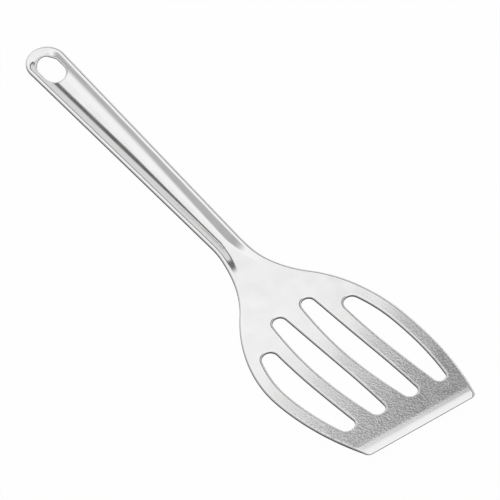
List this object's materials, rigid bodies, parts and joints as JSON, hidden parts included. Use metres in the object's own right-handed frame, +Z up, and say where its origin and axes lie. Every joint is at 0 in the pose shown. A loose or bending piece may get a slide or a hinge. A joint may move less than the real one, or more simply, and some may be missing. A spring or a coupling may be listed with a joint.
{
  "type": "slotted turner",
  "caption": "One-piece stainless steel slotted turner: a long channelled handle with an oval hang hole flares into a broad upswept blade with long slots and a thin slanted front edge",
  "frame": {"origin": "On the surface that the turner rests on, under the middle of its bounding box", "axes": "+X from the handle to the blade's front edge, +Y across the blade towards its longer front corner, +Z up with the handle's trough and the blade's hollow side facing up"},
  "size_m": [0.32, 0.0844, 0.0216],
  "materials": {
    "brushed_steel": "satin, fine grain along the tool"
  },
  "bodies": {
    "root": {"spatula_body": "brushed_steel"}
  },
  "joints": []
}
